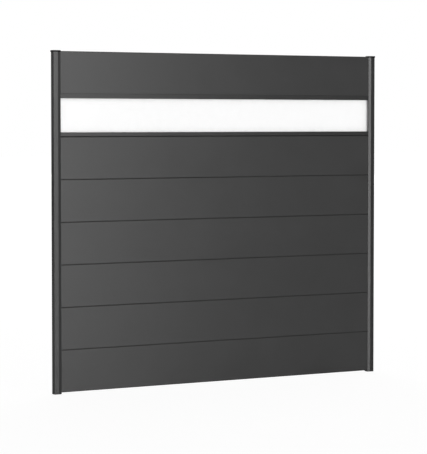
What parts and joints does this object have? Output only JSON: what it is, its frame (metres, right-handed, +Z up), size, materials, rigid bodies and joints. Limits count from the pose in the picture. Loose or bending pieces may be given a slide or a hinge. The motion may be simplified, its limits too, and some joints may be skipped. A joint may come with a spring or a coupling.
{
  "type": "metal privacy screen",
  "caption": "Fence bay of wide hollow boards stacked between two slotted posts, with a translucent strip window under the top board.",
  "frame": {"origin": "on the foot of the left post, at the middle of the web behind its slot", "axes": "+X along the screen to the right post, -Y towards the front, +Z up"},
  "size_m": [1.8198, 0.0334, 1.6105],
  "materials": {
    "powder_coat": "satin",
    "satin_pane": "satin",
    "black_rubber": "matte",
    "black_plastic": "satin"
  },
  "bodies": {
    "root": {"left_post": "powder_coat", "right_post": "powder_coat", "top_board": "powder_coat", "window_top_rail": "powder_coat", "window_bottom_rail": "powder_coat", "board_1": "powder_coat", "board_2": "powder_coat", "board_3": "powder_coat", "board_4": "powder_coat", "board_5": "powder_coat", "board_6": "powder_coat", "window_pane": "satin_pane", "pane_top_gasket": "black_rubber", "pane_bottom_gasket": "black_rubber", "pane_left_seal": "black_rubber", "pane_right_seal": "black_rubber", "left_post_cap": "black_plastic", "right_post_cap": "black_plastic", "left_board_rest": "black_plastic", "right_board_rest": "black_plastic"}
  },
  "joints": []
}
